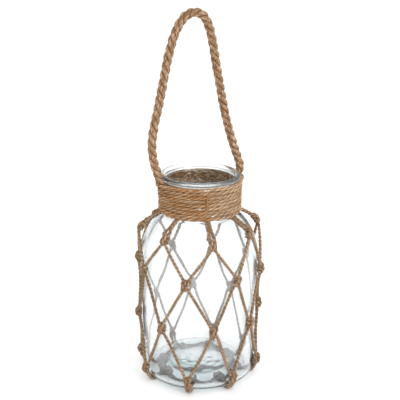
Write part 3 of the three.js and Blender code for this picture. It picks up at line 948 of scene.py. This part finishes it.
def build_wrap():
    turns = np.linspace(0, WRAP_TURNS, WRAP_TURNS * 120 + 1)
    start = math.radians(-150)
    azimuth = start + turns * 2 * math.pi
    height = WRAP_BASE + WRAP_PITCH * np.clip(turns - 0.5, 0, WRAP_TURNS - 1)
    wave = 0.22 * np.sin(azimuth * 2 + 1) + 0.12 * np.sin(azimuth * 5)
    wave = wave + 0.17 * np.sin(azimuth * 3.7 + turns)
    uneven = 0.2 * np.sin(azimuth * 5.3) + 0.16 * np.sin(azimuth * 2.3 + 1)
    reach = WRAP_INNER + WRAP_THICK / 2 + bulge(azimuth, height) + uneven
    # Both ends dive under their neighbours.
    dive = 1 - smoothstep(turns, 0, 0.07) + smoothstep(turns, WRAP_TURNS - 0.07, WRAP_TURNS)
    reach = reach - 1.2 * dive
    path = polar(azimuth, reach, height + wave * (1 - dive) + LIFT)
    builder = Builder()
    outline = twine_outline(WRAP_TWINE_RADIUS, plies=3, lay=21.0, ply=0.5, phase=1, uneven_lay=1.0)
    line, _ = builder.tube(path, sides=18, step=0.6, outline=outline)
    # A spare end of the twine, drawn down over the turns in front and glued.
    spare = on_jar([
        (9.2, 39.6, 203.2), (9.6, 41.2, 201.6), (9.8, 42.5, 199.8), (9.2, 42.75, 196),
        (9.5, 42.75, 192), (8.8, 42.5, 188.6), (8.6, 41.2, 187), (8.6, 39.6, 185.6),
    ])
    outline = twine_outline(1.0, plies=3, lay=8.0, ply=0.55, phase=2)
    builder.tube(smooth_line(spare), sides=14, step=0.5, outline=outline)
    # Glue has darkened the jute on the left and in front.
    for points, tint in zip(builder.points, builder.tint):
        around = np.degrees(np.arctan2(points[:, 0], -points[:, 1]))
        soaked = smoothstep(around, -150, -100) * (1 - smoothstep(around, 2, 30))
        blotches = np.sin(around * 0.11 + points[:, 2] * 0.35) + np.sin(around * 0.05 - points[:, 2] * 0.8)
        tint[:, 1] = soaked * np.clip(0.62 + 0.3 * blotches, 0, 1)
    builder.tint[1][:, 1] = 1
    wrap = builder.make("wrap_cord", WRAP_JUTE, "wrap_twine")
    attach(wrap, "lantern")
    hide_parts("neck_wrap")
    return line[:, :3]


wrap_line = build_wrap()


def build_wrap_glue():
    """The glue that holds the wrap, soaked into the jute behind its turns."""
    low, high = WRAP_BASE - 1.1, WRAP_BASE + (WRAP_TURNS - 1) * WRAP_PITCH + 0.9
    heights = np.linspace(low, high, 50)
    azimuth = whole_turn(180)[None]
    rows = []
    for thick, sequence in ((1.7, heights), (0.0, heights[::-1])):
        height = sequence[:, None]
        rough = 0.15 * np.sin(azimuth * 31 + height * 5) * np.sin(azimuth * 13 - height * 3)
        reach = 37.7 + 0.9 * bulge(azimuth, height) + thick + rough
        rows.append(polar(azimuth, reach, height + LIFT))
    points = np.vstack(rows)
    vertices = points.reshape(-1, 3)
    glue = make_mesh(
        "wrap_glue", vertices, grid_faces(*points.shape[:2], wrap_rows=True), [],
        SOAKED_JUTE, strand=vertices,
    )
    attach(glue, "lantern")


build_wrap_glue()


def build_glue_beads():
    """Drops of hot glue that have set on the wrap."""
    # (degrees round, radius, height, half width, half height)
    drops = [
        (0, 42.3, 188.2, 1.1, 0.7), (17, 42.0, 180.4, 1.6, 0.7), (19.5, 42.1, 181.2, 1.0, 0.5),
        (34, 41.6, 177.6, 1.1, 0.6), (7, 41.6, 206.4, 1.6, 0.7), (11, 41.5, 206.7, 1.2, 0.5),
        (-13, 41.4, 206.2, 0.9, 0.5), (172, 37.6, 203.5, 2.2, 0.5), (187, 37.6, 203.9, 2.6, 0.4),
        (198, 37.6, 201.8, 1.6, 0.4),
    ]
    rows, columns = 9, 16
    fall = np.linspace(0.12, math.pi - 0.12, rows)[:, None]
    around = whole_turn(columns)[None]
    points, quads, ends = [], [], []
    for index, (degrees, radius, height, wide, tall) in enumerate(drops):
        azimuth = math.radians(degrees)
        lump = 1 + 0.16 * np.sin(3 * around + index) * np.sin(2 * fall)
        rim = np.array([math.cos(azimuth), math.sin(azimuth), 0])
        along = (wide * lump * np.sin(fall) * np.cos(around))[..., None] * rim
        up = (tall * lump * np.sin(fall) * np.sin(around))[..., None] * UP
        out = (tall * lump * np.cos(fall))[..., None] * polar(azimuth, 1, 0)
        start = index * rows * columns
        points.append((polar(azimuth, radius, height + LIFT) + along + up + out).reshape(-1, 3))
        quads.append(grid_faces(rows, columns, start=start)[:, ::-1])
        ends += [face[::-1] for face in end_faces(rows, columns, start)]
    beads = make_mesh("glue_beads", np.vstack(points), np.vstack(quads), ends, GLUE)
    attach(beads, "lantern")


build_glue_beads()


# ---- loose fibres ----
def fibre_mesh(name, lines, material, radius, count, longest):
    """Fine fibres that stand out of the cords: closed three-sided tubes, each rooted in its cord."""
    joints, sides = 5, 3
    line = np.vstack([centre[1:-1] for centre in lines])
    along = np.vstack([unit(centre[2:] - centre[:-2]) for centre in lines])
    pick = rng.integers(0, len(line), count)
    base, forward = line[pick], along[pick] * rng.choice([-1, 1], count)[:, None]
    side = unit(np.cross(forward, rng.normal(size=(count, 3))))
    length = longest * rng.uniform(0.25, 1, count) ** 2.2
    share = np.linspace(0, 1, joints)[None, :, None]
    spread = rng.uniform(0.12, 0.75, count)[:, None, None]
    bend = rng.normal(0, 0.28, (count, 1, 3))
    reach = length[:, None, None]
    path = (
        base[:, None] + side[:, None] * (radius * 0.8)
        + reach * (forward[:, None] * share + side[:, None] * spread * share + bend * share**2)
    )
    thick = rng.uniform(0.045, 0.075, count)[:, None, None] * (1 - 0.6 * share)
    across = unit(np.cross(forward, side))
    angle = whole_turn(sides)
    ring = np.cos(angle)[:, None] * across[:, None, None] + np.sin(angle)[:, None] * side[:, None, None]
    points = (path[:, :, None] + ring * thick[..., None]).reshape(-1, 3)
    first = np.arange(count) * joints * sides
    quads = (first[:, None, None] + grid_faces(joints, sides)).reshape(-1, 4)
    ends = [face for start in first for face in end_faces(joints, sides, start)]
    strand = points + np.repeat(rng.uniform(0, 90, (count, 1)), joints * sides, 0)
    return make_mesh(name, points, quads, ends, material, strand)


def stray_outline(angle, at):
    even = np.zeros(np.broadcast_shapes(angle.shape, at.shape))
    return even + 0.17, even + 0.5


def build_strays():
    """Longer fibres that hang off the net, each rooted at the nearest point of a cord."""
    builder = Builder()
    net_points = np.vstack(net_lines)
    for places in (
        [(-28.5, 54, 170), (-26.5, 58.5, 168.5), (-27.5, 61.5, 165), (-31, 60.5, 161)],
        [(-47.5, 61.5, 35), (-45.6, 64, 32), (-44.3, 64.6, 28.5), (-43.6, 63.4, 25)],
        [(38, 52, 170), (40.5, 55.5, 170.5), (42, 58, 168), (42.5, 59.5, 164.5)],
        [(12, 61.8, 95), (9.5, 64, 93), (8, 64.6, 89.5), (8.6, 63.4, 86)],
    ):
        points = on_jar(places)
        root = net_points[((net_points - points[0]) ** 2).sum(1).argmin()]
        builder.tube(smooth_line([root, *points[1:]]), sides=6, step=0.5, outline=stray_outline)
    strays = builder.make("net_strays", NET_JUTE, "net_twine")
    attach(strays, "lantern")


build_strays()


def build_fibres():
    shown = rope_centre[rope_centre[:, 2] > HINGE_HEIGHT]
    handle = fibre_mesh(
        "handle_fibres", [shown], ROPE_JUTE, radius=ROPE_RADIUS, count=1500, longest=8.0
    )
    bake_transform(handle)
    # The net shows between the jar's heel and the wrap.
    outside = [line[(line[:, 2] < LIFT + NECK_BASE) & (line[:, 2] > 9)] for line in net_lines]
    net = fibre_mesh(
        "net_fibres", outside, NET_JUTE, radius=TWINE_RADIUS, count=2600, longest=6.0
    )
    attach(net, "lantern")
    outer_turns = wrap_line * [1.025, 1.025, 1]
    wrap = fibre_mesh(
        "wrap_fibres", [outer_turns], WRAP_JUTE, radius=1.2, count=1300, longest=4.5
    )
    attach(wrap, "lantern")


build_fibres()


# ---- studio ----
def build_floor():
    half = 30.0
    corners = [(-half, -half, 0), (half, -half, 0), (half, half, 0), (-half, half, 0)]
    mesh = bpy.data.meshes.new("floor")
    mesh.from_pydata(corners, [], [(0, 1, 2, 3)])
    mesh.materials.append(floor_material())
    floor = bpy.data.objects.new("floor", mesh)
    scene.collection.objects.link(floor)


def build_world():
    """A darker wall round the studio and a bright ceiling, which give the glass its edges."""
    world = bpy.data.worlds.new("studio")
    nodes = Nodes(world)
    direction = nodes.add("TexCoord").outputs["Generated"]
    height = nodes.add("SeparateXYZ", {0: direction}).outputs["Z"]
    levels = [(0.0, 0.42), (0.16, 0.50), (0.45, 0.88), (1.0, 1.0)]
    colour = nodes.ramp(height, [(place, (level,) * 3) for place, level in levels])
    background = nodes.add("Background", {"Color": colour, "Strength": 1.3})
    nodes.add("OutputWorld", {"Surface": background.outputs[0]})
    scene.world = world


def build_lights():
    target = Vector((0, 0, 0.2))
    for name, place, size, power in (
        ("key", (1.2, -1.5, 1.2), 1.5, 19.0),
        ("top", (0.2, 0.2, 2.2), 2.0, 4.0),
    ):
        light = bpy.data.lights.new(name, "AREA")
        light.size = size
        light.energy = power
        lamp = bpy.data.objects.new(name, light)
        scene.collection.objects.link(lamp)
        lamp.location = place
        lamp.rotation_euler = (target - lamp.location).to_track_quat("-Z", "Y").to_euler()


build_floor()
build_world()
build_lights()
scene.view_settings.view_transform = "Standard"
